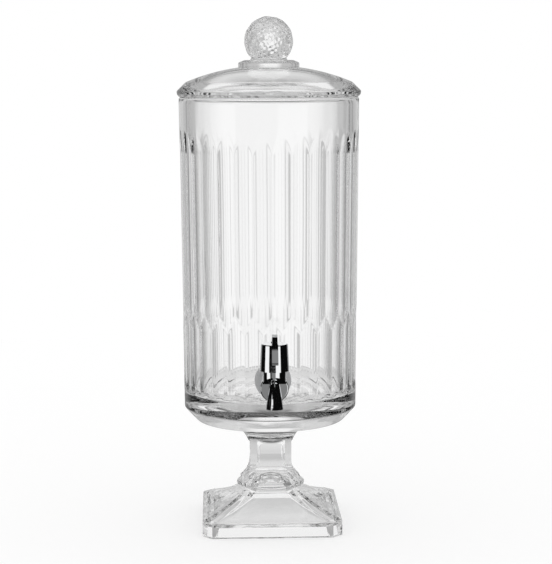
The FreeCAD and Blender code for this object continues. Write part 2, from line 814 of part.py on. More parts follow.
def make_outer_washer(blank):
    """The soft washer, pressed into the flutes on its jar side."""
    deep = jar_face_y + washer_squeeze
    washer = bar_y(outer_washer_r, washer_y, deep)
    washer = washer.cut(bar_y(shank_r, washer_y - past, deep + past))
    behind = bar_y(outer_washer_r + past, bore_y, 0)
    washer = washer.cut(blank).cut(behind)
    return max(washer.Solids, key=lambda s: s.Volume)


def make_inner_washer(jar):
    """The soft washer against the jar's bore."""
    start = bore_y - past / 2
    washer = bar_y(inner_washer_r, start, inner_washer_y)
    washer = washer.cut(bar_y(shank_r, start - past, inner_washer_y + past)).cut(jar)
    return max(washer.Solids, key=lambda s: s.Volume)


def make_clamp_washer():
    """The stiff washer under the nut."""
    washer = bar_y(clamp_washer_r, inner_washer_y, clamp_washer_y)
    return washer.cut(bar_y(shank_r, inner_washer_y - past, clamp_washer_y + past))


def make_lock_nut():
    """The hexagon nut that pulls the tap against the glass."""
    corner_r = nut_flats_half / math.cos(math.pi / 6)
    corners = [Vector(corner_r * math.cos(math.radians(60 * i)), clamp_washer_y,
                      tap_z + corner_r * math.sin(math.radians(60 * i))) for i in range(7)]
    nut = Part.Face(Part.makePolygon(corners)).extrude(Vector(0, nut_t, 0))
    cone = Part.makeCone(corner_r + nut_t - nut_bevel, corner_r - nut_bevel, nut_t,
                         Vector(0, clamp_washer_y, tap_z), Y_AXIS)
    return nut.common(cone).cut(bar_y(shank_r, clamp_washer_y - past, nut_y + past))


def middle_y(shapes):
    """The middle, along Y, of the box round several shapes."""
    boxes = [shape.optimalBoundingBox(False) for shape in shapes]
    return (min(box.YMin for box in boxes) + max(box.YMax for box in boxes)) / 2


def main():
    os.makedirs("parts", exist_ok=True)
    jar = make_jar()
    lid = make_lid()
    stem = make_valve_stem()
    nodes = {
        "pedestal": make_pedestal(),
        "jar": jar,
        "lid_dome": lid,
        "lid_knob": make_knob(lid),
        "tap_body": make_tap_body(),
        "tap_bonnet": make_bonnet(),
        "tap_lever": make_lever(),
        "lever_pin": make_pin(),
        "valve_stem": stem,
        "valve_plug": make_plug(stem),
        "spring_cup": make_spring_cup(),
        "valve_spring": make_spring(),
        "guide_bush": make_guide_bush(),
        "stem_seal": make_stem_seal(),
        "guide_plate": make_guide_plate(),
        "stem_nut": make_stem_nut(),
        "outer_washer": make_outer_washer(jar),
        "inner_washer": make_inner_washer(jar),
        "clamp_washer": make_clamp_washer(),
        "lock_nut": make_lock_nut(),
    }
    shift = Vector(0, -middle_y(nodes.values()), 0)
    print(f"moved {shift.y:.3f} mm along Y")
    for name, shape in nodes.items():
        save(name, shape.translated(shift))


main()
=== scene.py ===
"""The looks of a glass drink dispenser: pressed glass, chrome, silicone and plastic in a bright studio."""

import json
import math

import bmesh
import bpy
import numpy as np
from mathutils import Matrix, Vector


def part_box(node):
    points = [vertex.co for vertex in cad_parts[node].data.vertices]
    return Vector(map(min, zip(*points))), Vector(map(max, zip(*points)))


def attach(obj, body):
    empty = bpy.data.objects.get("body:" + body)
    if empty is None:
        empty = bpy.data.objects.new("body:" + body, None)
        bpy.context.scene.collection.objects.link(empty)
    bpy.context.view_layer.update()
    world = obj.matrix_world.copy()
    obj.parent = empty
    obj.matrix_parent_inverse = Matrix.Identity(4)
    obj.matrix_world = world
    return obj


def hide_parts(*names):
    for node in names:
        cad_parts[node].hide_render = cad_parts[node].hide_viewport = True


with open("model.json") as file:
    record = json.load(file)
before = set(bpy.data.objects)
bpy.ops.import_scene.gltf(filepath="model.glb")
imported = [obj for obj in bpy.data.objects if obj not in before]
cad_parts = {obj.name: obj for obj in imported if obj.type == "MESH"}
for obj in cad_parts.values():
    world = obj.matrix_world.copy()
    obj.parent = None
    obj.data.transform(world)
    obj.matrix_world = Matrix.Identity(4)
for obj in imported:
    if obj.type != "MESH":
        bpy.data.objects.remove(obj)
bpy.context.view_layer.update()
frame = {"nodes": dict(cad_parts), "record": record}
nodes = frame["nodes"]
scene = bpy.context.scene

# The jar's axis stands a little behind the frame's origin; every glass piece is made about it
jar_low, jar_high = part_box("jar")
axis_y = (jar_low[1] + jar_high[1]) / 2

# The photograph's frame and the camera that took it, in metres and degrees
picture_height = 564
focal_pixels = 1647.8
sensor_height = 36.0
camera_distance = 1.5216
camera_height = 0.4275
camera_aside = 0.0059
camera_turn = 2.05
camera_pitch = 7.5
camera_roll = -0.21

# Glass shapes, in millimetres, as the solids have them
pedestal_height = 99.5
plinth_half = 64.0
plinth_chamfer = 8.8
plinth_edge_round = 1.6
flare_sweep = ((14.4, 61.6), (18.0, 51.8), (22.6, 41.4), (26.0, 35.4), (29.4, 30.6), (32.6, 27.2),
               (36.4, 24.4))
flare_top_chamfer = 5.5
knee_r = 31.7
knee_foot_z = 36.2
knee_top_z = 39.0
knee_round = 1.1
stem_half = 19.2
stem_foot_chamfer = 4.0
stem_chamfer = 6.2
stem_sweep = ((38.6, 28.4), (40.8, 26.4), (43.4, 24.4), (46.6, 22.3), (50.6, 20.7), (55.0, 19.7),
              (60.0, 19.25), (65.0, 19.2))
collar_foot_z = 73.5
collar_lip_z = 97.3
collar_r = 38.0
collar_waist = (24.6, 84.4)
panel_edge = ((39.0, 20.6), (41.0, 20.0), (49.5, 14.2), (57.0, 10.9), (62.0, 10.4), (74.0, 10.4))
panel_top_z = 78.0
panel_depth = 0.7
panel_round = 4.0
panel_wall = 0.5
panel_margin = 0.2
plain_seam = 0.3
hair = 0.01
collar_soft = 0.6
collar_blend = 2.0
collar_lip_gap = (0.2, 0.4)
hollow_rim_half = 57.2
hollow_chamfer = 6.4
hollow_sweep = ((8.4, 55.6), (12.6, 48.0), (18.4, 37.4), (24.4, 28.6), (31.0, 21.6), (38.0, 17.4))
hollow_dome_rise = 8.0
hollow_dome_bow = (0.6, 0.655)
foot_edge = 0.4
hollow_edge = ((0.3, 0.0), (-0.1, 0.5))
# The square whose columns the round rings share: half width, chamfer and half width of its panel
ring_pattern = (26.0, 5.0, 12.0)
collar_rows = 26
panel_head_rows = 9
panel_rows = 46
flare_rows = 30
hollow_rows = 30
edge_rows = 6

jar_rim_z = 398.9
jar_rim_r = 82.8
jar_foot_r = 80.1
jar_wall = 8.2
jar_floor_z = 125.5
jar_floor_round = 7.0
jar_floor_rings = (50.0, 25.0)
bowl_clear = 0.5
rim_flat = 0.5
jar_rim_round = 2.4
bevel_z = 111.7
bevel_width = 11.4
bevel_round = 3.0
bevel_clear = 6.0
flute_count = 30
flute_columns = (0.95, 1.6, 2.3, 3.0, 3.7, 4.4, 5.05)
flute_clear = (2.0, 1.2, 1.5)
flute_r = 34.0
flute_land = 1.2
flute_top_z = 367.4
flute_top_arch = 18.0
flute_cross_z = 198.0
flute_cross_length = 16.0
flute_foot_z = 129.5
flute_foot_length = 4.5
flute_cross_reach = 0.6 * flute_cross_length
edge_soft = 0.12
longest_span = 4.0
tap_z = 149.7
glass_hole_r = 8.2

lid_brim_r = 84.6
lid_brim_side = (5.2, 2.4)
lid_brim_draft = 0.3
lid_brim_under = 2.2
lid_crown_z = 427.1
lid_crown_bow = (45.84, 422.14)
lid_shoulder = (76.4, 412.2)
lid_inside_z = 419.5
lid_inside_bow = (41.8, 413.73)
lid_ring = (72.8, 67.4, 394.3)
lid_ring_draft = 0.6
lid_edge_round = 0.7
lid_longest_span = 3.0
knob_disc_r = 28.0
knob_disc_z = 432.1
knob_disc_slope = 2.4
knob_disc_top_r = 22.5
knob_disc_round = 1.0
knob_neck_r = 17.2
knob_ball_r = 22.4
knob_ball_z = 449.35
knob_ball_foot = (16.18, 433.88)
dimple_count = 84
dimple_r = 13.0
dimple_depth = 1.15
dimple_neck_clear = 6.0
knob_columns = 288
knob_rows = 130
knob_longest_span = 1.5
knob_top_dip = 0.4

# Adhesive
bond_cloud_scale = 90.0
bond_tint = 0.04

# Light levels, where 1 is white
white_level = 1.0
room_level = 0.82
floor_albedo = 0.45
screen_level = 0.93
wall_level = 0.54
wall_falloff = 0.2
table_level = 0.72
lamp_level = 0.95
slat_depth = 0.8
shade_depth = 0.6
back_wall_level = 0.45
black_level = 0.003
floor_radius = 1.1

# The room in degrees: azimuth from the camera's side, aside from straight behind, height over the horizon.
# Pairs are the start and end of a soft step, triples are low end, high end and softness.
# The mirrored lights are the soft boxes on the left and right, a strip light, the table and the ceiling over
# the camera: azimuth, height and level of each
mirrored = (
    ((-81.0, -45.0, 2.5), (-21.0, -1.0, 3.0), 1.0),
    ((9.0, 48.0, 2.5), (-21.0, -1.0, 3.0), 1.0),
    ((-50.0, -24.0, 3.0), (1.0, 4.5, 0.7), 1.0),
    ((-30.0, 30.0, 8.0), (-50.0, -5.5, 1.0), 0.22),
    ((-6.0, 12.0, 3.0), (16.0, 36.0, 3.0), 0.24),
)
back_wall_from = (122.0, 150.0)
back_wall_top = (8.0, 24.0)
screen_aside = (5.0, 30.0)
screen_foot = (-16.0, -12.0)
screen_top = (12.0, 22.0)
wall_aside = (10.0, 75.0)
table_edge = (-22.0, -15.0)
table_wing = (12.0, 34.0, 4.0)
table_wing_edge = (-16.0, -10.0)
lamp_aside = (26.0, 68.0, 8.0)
lamp_foot = (22.0, 34.0)
slats_aside = (36.0, 79.0, 5.0)
slats_foot = (-18.0, -12.0)
slats_top = (-8.0, 6.0)
slat_pitch = 7.0
slat_edge = (2.0, 5.0)
shade_aside = (-20.0, 9.0, 3.0)
shade_height = (18.0, 30.0, 3.0)
ceiling_aside = (70.0, 95.0)
ceiling_foot = (12.0, 26.0)
front_aside = (74.0, 118.0)
front_height = (-60.0, 16.0, 6.0)


# Node graphs


class Graph:
    """Adds nodes to one tree; an input is a value or another node's output."""

    def __init__(self, tree):
        self.tree = tree
        tree.nodes.clear()

    def node(self, kind, **settings):
        made = self.tree.nodes.new(kind)
        for name, value in settings.items():
            setattr(made, name, value)
        return made

    def feed(self, socket, value):
        if isinstance(value, bpy.types.NodeSocket):
            self.tree.links.new(value, socket)
        elif value is not None:
            socket.default_value = value

    def math(self, operation, a, b=None, clamp=False):
        made = self.node("ShaderNodeMath", operation=operation, use_clamp=clamp)
        self.feed(made.inputs[0], a)
        self.feed(made.inputs[1], b)
        return made.outputs[0]

    def smooth(self, value, low, high):
        """0 below low, 1 above high, and a soft step between."""
        made = self.node("ShaderNodeMapRange", interpolation_type="SMOOTHSTEP")
        self.feed(made.inputs["Value"], value)
        made.inputs["From Min"].default_value = low
        made.inputs["From Max"].default_value = high
        return made.outputs["Result"]

    def fade(self, value, low, high):
        """1 below low, 0 above high, and a soft step between."""
        return self.math("SUBTRACT", 1.0, self.smooth(value, low, high))

    def window(self, value, low, high, soft):
        """1 between low and high, with soft ends."""
        rise = self.smooth(value, low - soft, low + soft)
        return self.math("MULTIPLY", rise, self.fade(value, high - soft, high + soft))

    def times(self, product, *factors):
        """The product of all the values."""
        for factor in factors:
            product = self.math("MULTIPLY", product, factor)
        return product

    def most(self, largest, *others):
        """The largest of the values."""
        for other in others:
            largest = self.math("MAXIMUM", largest, other)
        return largest


def seen_directly(graph):
    """1 for rays from the camera and for those reflected or refracted without scattering."""
    path = graph.node("ShaderNodeLightPath")
    bright = graph.math("MAXIMUM", path.outputs["Is Camera Ray"], path.outputs["Is Glossy Ray"])
    return graph.math("MAXIMUM", bright, path.outputs["Is Transmission Ray"])


# Camera


def add_camera():
    """Stands the camera where the photograph was taken from."""
    turn = math.radians(camera_turn)
    aside, back = camera_aside, -camera_distance
    data = bpy.data.cameras.new("camera")
    data.sensor_fit = "VERTICAL"
    data.sensor_height = sensor_height
    data.lens = focal_pixels * sensor_height / picture_height
    camera = bpy.data.objects.new("camera", data)
    place = Vector((aside * math.cos(turn) + back * math.sin(turn),
                    axis_y + back * math.cos(turn) - aside * math.sin(turn), camera_height))
    camera.matrix_world = (Matrix.Translation(place) @ Matrix.Rotation(-turn, 4, "Z")
                           @ Matrix.Rotation(math.radians(90 - camera_pitch), 4, "X")
                           @ Matrix.Rotation(math.radians(camera_roll), 4, "Z"))
    scene.collection.objects.link(camera)
    scene.camera = camera


# World


def mirrored_level(g, azimuth, height, away):
    """What is reflected: the mirrored lights in a dark room with a grey back wall."""
    level = g.times(g.smooth(away, *back_wall_from), g.fade(height, *back_wall_top), back_wall_level)
    for across, up, share in mirrored:
        level = g.most(level, g.times(g.window(azimuth, *across), g.window(height, *up), share))
    return g.math("ADD", level, black_level, clamp=True)


def refracted_level(g, height, away):
    """What shows through: a white screen on a grey wall, a table, lamps, dark slats and the lit front."""
    aside = g.math("SUBTRACT", 180.0, away)
    screen = g.times(g.fade(aside, *screen_aside), screen_level)
    screen = g.times(screen, g.smooth(height, *screen_foot), g.fade(height, *screen_top))
    wall = g.times(g.smooth(aside, *wall_aside), wall_falloff)
    wall = g.times(g.math("SUBTRACT", 1.0, wall), wall_level)
    wing = g.times(g.window(aside, *table_wing), g.fade(height, *table_wing_edge))
    table = g.most(g.fade(height, *table_edge), wing)
    wall = g.math("ADD", wall, g.times(table, table_level - wall_level))
    lamp = g.times(g.window(aside, *lamp_aside), g.smooth(height, *lamp_foot), lamp_level)
    slats = g.times(g.window(aside, *slats_aside), g.fade(height, *slats_top), g.smooth(height, *slats_foot))
    slats = g.times(slats, g.smooth(g.math("PINGPONG", aside, slat_pitch), *slat_edge), slat_depth)
    shade = g.times(g.window(aside, *shade_aside), g.window(height, *shade_height), shade_depth)
    ceiling = g.times(g.smooth(aside, *ceiling_aside), g.smooth(height, *ceiling_foot))
    uncovered = g.math("SUBTRACT", 1.0, g.most(slats, shade, ceiling))
    front = g.times(g.smooth(aside, *front_aside), g.window(height, *front_height))
    level = g.most(g.times(g.most(screen, wall, lamp), uncovered), front)
    return g.math("ADD", level, black_level)


def add_world():
    """White to the eye, with a studio that only reflections and refractions see."""
    world = bpy.data.worlds.new("studio")
    world.use_nodes = True
    scene.world = world
    g = Graph(world.node_tree)
    split = g.node("ShaderNodeSeparateXYZ")
    g.feed(split.inputs[0], g.node("ShaderNodeTexCoord").outputs["Generated"])
    x, y, z = split.outputs
    degrees = 180 / math.pi
    azimuth = g.times(g.math("ARCTAN2", x, g.times(y, -1.0)), degrees)
    height = g.times(g.math("ARCSINE", z), degrees)
    away = g.math("ABSOLUTE", azimuth)
    path = g.node("ShaderNodeLightPath")
    bounced = g.times(path.outputs["Is Glossy Ray"], path.outputs["Is Reflection Ray"])
    parts = (
        g.times(bounced, mirrored_level(g, azimuth, height, away)),
        g.times(path.outputs["Is Transmission Ray"], refracted_level(g, height, away)),
        g.times(path.outputs["Is Camera Ray"], white_level),
        g.times(g.math("SUBTRACT", 1.0, seen_directly(g), clamp=True), room_level),
    )
    level = parts[0]
    for part in parts[1:]:
        level = g.math("ADD", level, part)
    back = g.node("ShaderNodeBackground")
    back.inputs["Color"].default_value = (1, 1, 1, 1)
    g.feed(back.inputs["Strength"], level)
    g.feed(g.node("ShaderNodeOutputWorld").inputs["Surface"], back.outputs[0])


def add_floor():
    """A round white table top that keeps the object's shadow."""
    bpy.ops.mesh.primitive_circle_add(vertices=96, radius=floor_radius, fill_type="NGON",
                                      location=(0, axis_y, 0))
    floor = bpy.context.object
    floor.name = "floor"
    material = bpy.data.materials.new("floor_white")
    material.use_nodes = True
    g = Graph(material.node_tree)
    diffuse = g.node("ShaderNodeBsdfDiffuse")
    diffuse.inputs["Color"].default_value = (floor_albedo, floor_albedo, floor_albedo, 1)
    glow = g.node("ShaderNodeEmission")
    glow.inputs["Color"].default_value = (1, 1, 1, 1)
    missing = white_level - floor_albedo * room_level
    g.feed(glow.inputs["Strength"], g.times(seen_directly(g), missing))
    both = g.node("ShaderNodeAddShader")
    g.feed(both.inputs[0], diffuse.outputs[0])
    g.feed(both.inputs[1], glow.outputs[0])
    g.feed(g.node("ShaderNodeOutputMaterial").inputs["Surface"], both.outputs[0])
    floor.data.materials.append(material)
    floor.visible_glossy = False
    floor.visible_transmission = False


# Materials


def add_material(name, grain, roughness=None, colours=None, **values):
    """A principled material, uneven by a grain of (stretch, scale, height of the bumps in metres)."""
    stretch, scale, height = grain
    material = bpy.data.materials.new(name)
    material.use_nodes = True
    g = Graph(material.node_tree)
    shader = g.node("ShaderNodeBsdfPrincipled")
    for socket, value in values.items():
        shader.inputs[socket.replace("_", " ")].default_value = value
    g.feed(g.node("ShaderNodeOutputMaterial").inputs["Surface"], shader.outputs[0])
    place = g.node("ShaderNodeMapping")
    g.feed(place.inputs["Vector"], g.node("ShaderNodeTexCoord").outputs["Object"])
    place.inputs["Scale"].default_value = stretch
    noise = g.node("ShaderNodeTexNoise")
    g.feed(noise.inputs["Vector"], place.outputs[0])
    noise.inputs["Scale"].default_value = scale
    noise.inputs["Detail"].default_value = 1.0
    bump = g.node("ShaderNodeBump")
    bump.inputs["Strength"].default_value = 1.0
    bump.inputs["Distance"].default_value = height
    g.feed(bump.inputs["Height"], noise.outputs[0])
    g.feed(shader.inputs["Normal"], bump.outputs[0])
    if roughness:
        spread = g.node("ShaderNodeMapRange")
        g.feed(spread.inputs["Value"], noise.outputs[0])
        spread.inputs["To Min"].default_value = roughness[0]
        spread.inputs["To Max"].default_value = roughness[1]
        g.feed(shader.inputs["Roughness"], spread.outputs[0])
    if colours:
        mix = g.node("ShaderNodeMix", data_type="RGBA")
        g.feed(mix.inputs[0], noise.outputs[0])
        mix.inputs[6].default_value = colours[0]
        mix.inputs[7].default_value = colours[1]
        g.feed(shader.inputs["Base Color"], mix.outputs[2])
    return material


def add_bond():
    """The clear adhesive between two glass pieces."""
    material = bpy.data.materials.new("clear_bond")
    material.use_nodes = True
    g = Graph(material.node_tree)
    clear = g.node("ShaderNodeBsdfTransparent")
    cloud = g.node("ShaderNodeTexNoise")
    cloud.inputs["Scale"].default_value = bond_cloud_scale
    tint = g.math("ADD", 1.0 - bond_tint, g.times(cloud.outputs[0], bond_tint))
    g.feed(clear.inputs["Color"], tint)
    g.feed(g.node("ShaderNodeOutputMaterial").inputs["Surface"], clear.outputs[0])
    return material


even = (1, 1, 1)
pressed_glass = add_material("pressed_glass", ((1, 1, 0.15), 45.0, 0.0003), Base_Color=(1, 1, 1, 1),
                             Roughness=0.0, IOR=1.5, Transmission_Weight=1.0)
turned_glass = add_material("turned_glass", (even, 45.0, 0.00005), Base_Color=(1, 1, 1, 1),
                            Roughness=0.0, IOR=1.5, Transmission_Weight=1.0)
chrome = add_material("bright_chrome", (even, 220.0, 0.00003), roughness=(0.02, 0.05),
                      Base_Color=(0.9, 0.91, 0.92, 1), Metallic=1.0, Roughness=0.03)
silicone = add_material("grey_silicone", (even, 400.0, 0.00005), roughness=(0.38, 0.55),
                        colours=((0.76, 0.77, 0.78, 1), (0.84, 0.84, 0.85, 1)),
                        Base_Color=(0.8, 0.8, 0.81, 1), Roughness=0.45)
plastic = add_material("white_plastic", (even, 500.0, 0.00004), roughness=(0.3, 0.45),
                       colours=((0.72, 0.72, 0.69, 1), (0.78, 0.78, 0.76, 1)),
                       Base_Color=(0.75, 0.75, 0.72, 1), Roughness=0.35)
steel = add_material("turned_steel", ((1, 1, 8), 300.0, 0.00003), roughness=(0.18, 0.34),
                     Base_Color=(0.62, 0.62, 0.61, 1), Metallic=1.0, Roughness=0.25)
bond = add_bond()

finishes = {"clear_glass": pressed_glass, "tap_chrome": chrome, "silicone": silicone,
            "white_plastic": plastic, "stainless": steel}
for part in frame["record"]["subparts"]:
    for held in nodes[part["node"]].material_slots:
        held.material = finishes[part["material_slot"]]


# Meshes


def skin(name, rows, stands_for, body, material, bonded=(), dropped=None, bridges=(), sharp=40.0):
    """A closed skin through rings of points in millimetres; a ring of one point closes an end.

    bonded holds the bands of faces that touch another glass piece. dropped tells which faces are left out
    for a hole, and bridges holds the pairs of loops between which faces line the hole.
    """
    starts, points = [], []
    for row in rows:
        starts.append(len(points))
        points.extend(row)
    faces, slots = [], []
    for at, (low, high) in enumerate(zip(rows, rows[1:])):
        count = max(len(low), len(high))
        a, b = starts[at], starts[at + 1]
        for i in range(count):
            j = (i + 1) % count
            if dropped and dropped(at, i):
                continue
            if len(low) == 1:
                face = (a, b + j, b + i)
            elif len(high) == 1:
                face = (a + i, a + j, b)
            else:
                face = (a + i, a + j, b + j, b + i)
            faces.append(face)
            slots.append(1 if at in bonded else 0)
    for near, far in bridges:
        ends = [[starts[row] + column for row, column in loop] for loop in (near, far)]
        for i in range(len(near)):
            j = (i + 1) % len(near)
            faces.append((ends[0][i], ends[0][j], ends[1][j], ends[1][i]))
            slots.append(0)
    mesh = bpy.data.meshes.new(name)
    mesh.from_pydata((np.array(points) / 1000 + (0, axis_y, 0)).tolist(), [], faces)
    mesh.materials.append(material)
    mesh.materials.append(bond)
    mesh.polygons.foreach_set("material_index", slots)
    mesh.polygons.foreach_set("use_smooth", [True] * len(faces))
    mesh.set_sharp_from_angle(angle=math.radians(sharp))
    piece = bpy.data.objects.new(name, mesh)
    scene.collection.objects.link(piece)
    tidy_mesh(mesh)
    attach(piece, body)
    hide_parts(stands_for)


def tidy_mesh(mesh):
    """Drops loose points and turns every face outward."""
    work = bmesh.new()
    work.from_mesh(mesh)
    bmesh.ops.delete(work, geom=[v for v in work.verts if not v.link_faces], context="VERTS")
    bmesh.ops.recalc_face_normals(work, faces=work.faces)
    work.to_mesh(mesh)
    work.free()


def spline_at(points, z):
    """A smooth curve through (z, value) pairs, read at a height."""
    zs = [p[0] for p in points]
    vs = [p[1] for p in points]
    slopes = np.gradient(vs, zs)
    i = min(max(int(np.searchsorted(zs, z)) - 1, 0), len(zs) - 2)
    span = zs[i + 1] - zs[i]
    t = min(max((z - zs[i]) / span, 0.0), 1.0)
    return ((2 * t ** 3 - 3 * t ** 2 + 1) * vs[i] + (t ** 3 - 2 * t ** 2 + t) * span * slopes[i]
            + (3 * t ** 2 - 2 * t ** 3) * vs[i + 1] + (t ** 3 - t ** 2) * span * slopes[i + 1])


def arc(start, through, end, steps):
    """Points of the circle through three (r, z) points, without the first."""
    (ax, ay), (bx, by), (cx, cy) = start, through, end
    a, b, c = ax ** 2 + ay ** 2, bx ** 2 + by ** 2, cx ** 2 + cy ** 2
    d = 2 * (ax * (by - cy) + bx * (cy - ay) + cx * (ay - by))
    ux = (a * (by - cy) + b * (cy - ay) + c * (ay - by)) / d
    uy = (a * (cx - bx) + b * (ax - cx) + c * (bx - ax)) / d
    first, mid, last = (math.atan2(y - uy, x - ux) for x, y in (start, through, end))
    turn = (last - first) % (2 * math.pi)
    if (mid - first) % (2 * math.pi) > turn:
        turn -= 2 * math.pi
    r = math.hypot(ax - ux, ay - uy)
    return [(ux + r * math.cos(first + turn * i / steps), uy + r * math.sin(first + turn * i / steps))
            for i in range(1, steps + 1)]


def eased(points, radius, steps=4):
    """A broken line of (r, z) points with its inner corners rounded."""
    out = [points[0]]
    for before, corner, after in zip(points, points[1:], points[2:]):
        p, q, s = (np.array(v, float) for v in (before, corner, after))
        to_p, to_s = p - q, s - q
        reach = min(radius, 0.45 * np.linalg.norm(to_p), 0.45 * np.linalg.norm(to_s))
        a = q + to_p / np.linalg.norm(to_p) * reach
        b = q + to_s / np.linalg.norm(to_s) * reach
        for i in range(steps + 1):
            t = i / steps
            out.append(tuple((1 - t) ** 2 * a + 2 * t * (1 - t) * q + t ** 2 * b))
    return out + [points[-1]]


def divided(points, step):
    """The same broken line with no span longer than a step."""
    out = [points[0]]
    for a, b in zip(points, points[1:]):
        count = max(1, math.ceil(math.dist(a, b) / step))
        for i in range(1, count + 1):
            out.append((a[0] + (b[0] - a[0]) * i / count, a[1] + (b[1] - a[1]) * i / count))
    return out


def turned(profile, count=256):
    """Rings of a lathe profile of (r, z) points."""
    angles = np.arange(count) * 2 * math.pi / count
    rows = []
    for r, z in profile:
        if r < 1e-6:
            rows.append([(0.0, 0.0, z)])
        else:
            rows.append(np.stack([r * np.cos(angles), r * np.sin(angles), np.full(count, z)], -1))
    return rows


# Jar


def jar_outer(z):
    """Radius of the jar's plain outside."""
    return jar_foot_r + (z - bevel_z) * (jar_rim_r - jar_foot_r) / (jar_rim_z - bevel_z)


def flute_depth():
    """Depth at the middle of a flute, which leaves a land between neighbours."""
    r = (jar_rim_r + jar_foot_r) / 2
    half_width = r * math.sin(math.pi / flute_count) - flute_land / 2
    return r + flute_r - math.sqrt(r ** 2 - half_width ** 2) - math.sqrt(flute_r ** 2 - half_width ** 2)


def fluted(angles, level):
    """Radius of the fluted wall, for angles from a rib of the upper row and heights, both as arrays."""
    depth = flute_depth()
    pitch = 2 * math.pi / flute_count
    plain = jar_outer(level)
    radius = plain
    low, high = flute_cross_z - flute_cross_length / 2, flute_cross_z + flute_cross_length / 2
    rows = ((low, flute_cross_length, flute_top_z, flute_top_arch, 0.5),
            (flute_foot_z, flute_foot_length, high, flute_cross_length, 0.0))
    for foot, foot_length, top, top_length, shift in rows:
        shallow = np.maximum(1 - (level - foot) / foot_length, 1 - (top - level) / top_length)
        bar = flute_r - depth * np.maximum(shallow, 0)
        axis = plain + flute_r - depth
        off = ((angles / pitch - shift + 0.5) % 1.0 - 0.5) * pitch
        room = bar ** 2 - (axis * np.sin(off)) ** 2
        cut = np.where(room > 0, axis * np.cos(off) - np.sqrt(np.maximum(room, 0)), plain + flute_r)
        radius = radius - edge_soft * np.logaddexp(0, (radius - cut) / edge_soft)
    return radius


def jar_columns():
    """Angles round the jar from a rib of the upper row, closer at the ribs, and their number in a flute."""
    half = math.pi / flute_count
    land = math.degrees(math.asin(flute_land / 2 / jar_foot_r))
    steps = np.radians([0, land, *flute_columns, math.degrees(half) - land])
    offsets = np.concatenate([steps, 2 * half - np.concatenate([[half], steps[:0:-1]])])
    return np.concatenate([offsets + 2 * half * i for i in range(flute_count)]), len(offsets)


def jar_levels(cell):
    """Heights up the wall from the bevel to the rim, closer round the tap and where the flutes end."""
    below, start, above = flute_clear
    levels = [bevel_z + bevel_clear, flute_foot_z - below, flute_foot_z - start]
    climbs = ((tap_z - cell, 17), (tap_z + cell, 16), (flute_cross_z - flute_cross_reach, 15),
              (flute_cross_z + flute_cross_reach, 39), (flute_top_z - flute_top_arch, 59),
              (flute_top_z + above, 39), (jar_rim_z - jar_rim_round, 7))
    for stop, count in climbs:
        levels += list(np.linspace(levels[-1], stop, count + 1)[1:])
    return levels


